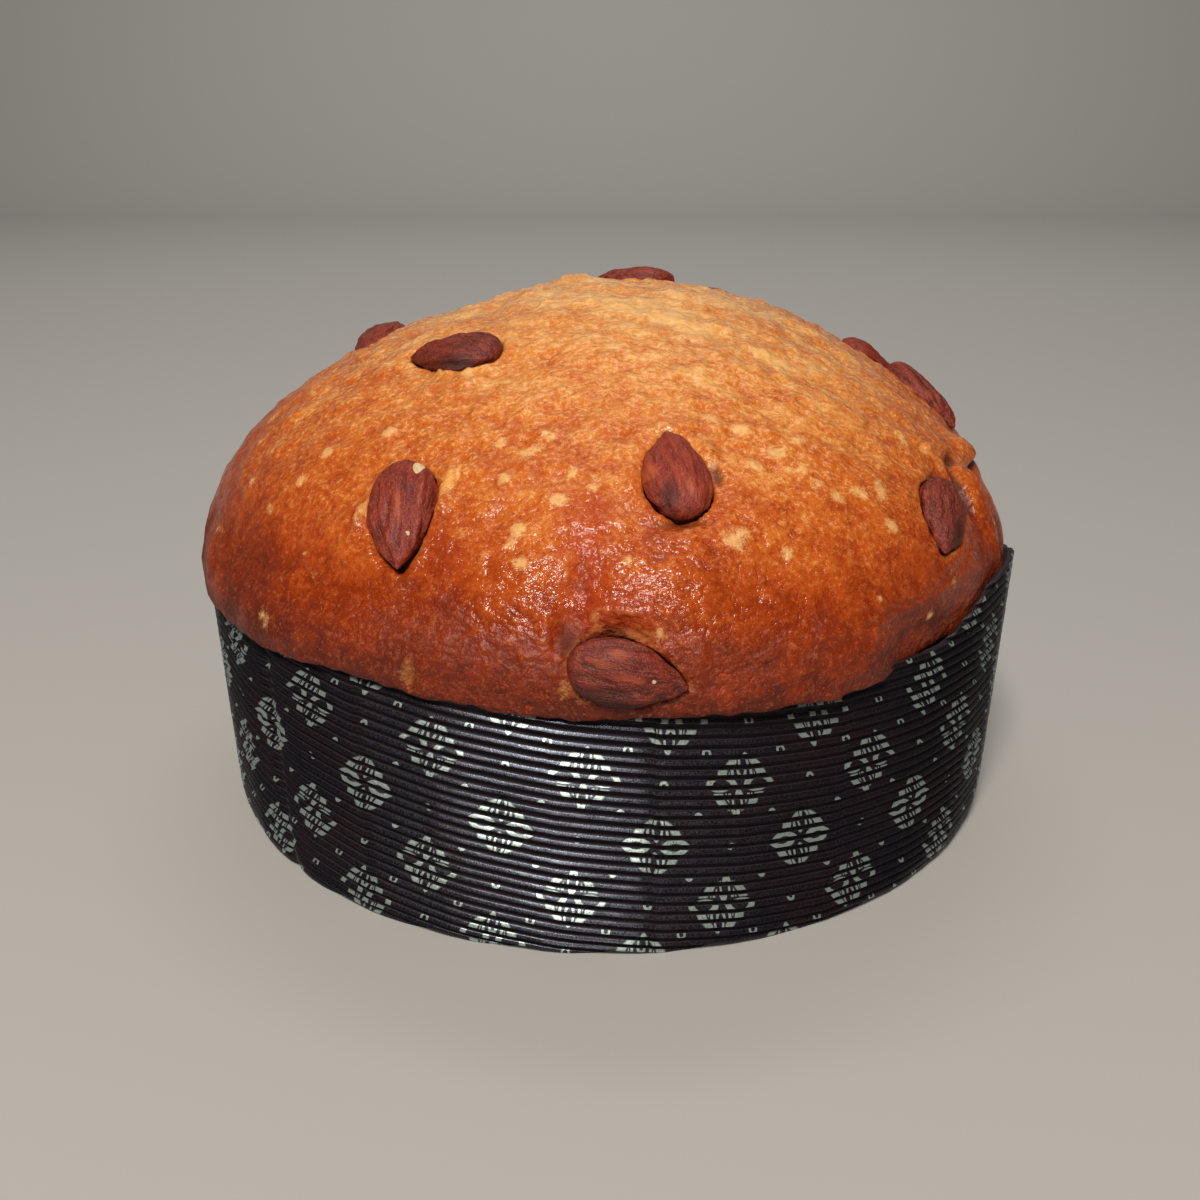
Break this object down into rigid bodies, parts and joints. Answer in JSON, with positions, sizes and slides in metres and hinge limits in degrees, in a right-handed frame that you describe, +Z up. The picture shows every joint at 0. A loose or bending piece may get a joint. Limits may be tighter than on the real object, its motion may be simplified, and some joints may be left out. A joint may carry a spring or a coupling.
{
  "type": "panettone",
  "caption": "Low domed sweet loaf with whole almonds sunk into its browned crust, in a round fluted dark paper case.",
  "frame": {"origin": "middle of the paper case's flat bottom, on the surface it stands on", "axes": "+Z up, -Y towards the front, +X to the right as seen from the front"},
  "size_m": [0.2055, 0.212, 0.1244],
  "materials": {
    "paper_case": "dark fluted baking paper with a pale printed ornament",
    "bread": "baked crust, orange-brown, glossy on its blisters",
    "almond": "toasted almond skin, finely wrinkled, satin"
  },
  "bodies": {
    "root": {"paper_case": "paper_case", "bread": "bread", "almond_01": "almond", "almond_02": "almond", "almond_03": "almond", "almond_04": "almond", "almond_05": "almond", "almond_06": "almond", "almond_07": "almond", "almond_08": "almond", "almond_09": "almond", "almond_10": "almond", "almond_11": "almond", "almond_12": "almond", "almond_13": "almond", "almond_14": "almond"}
  },
  "joints": []
}
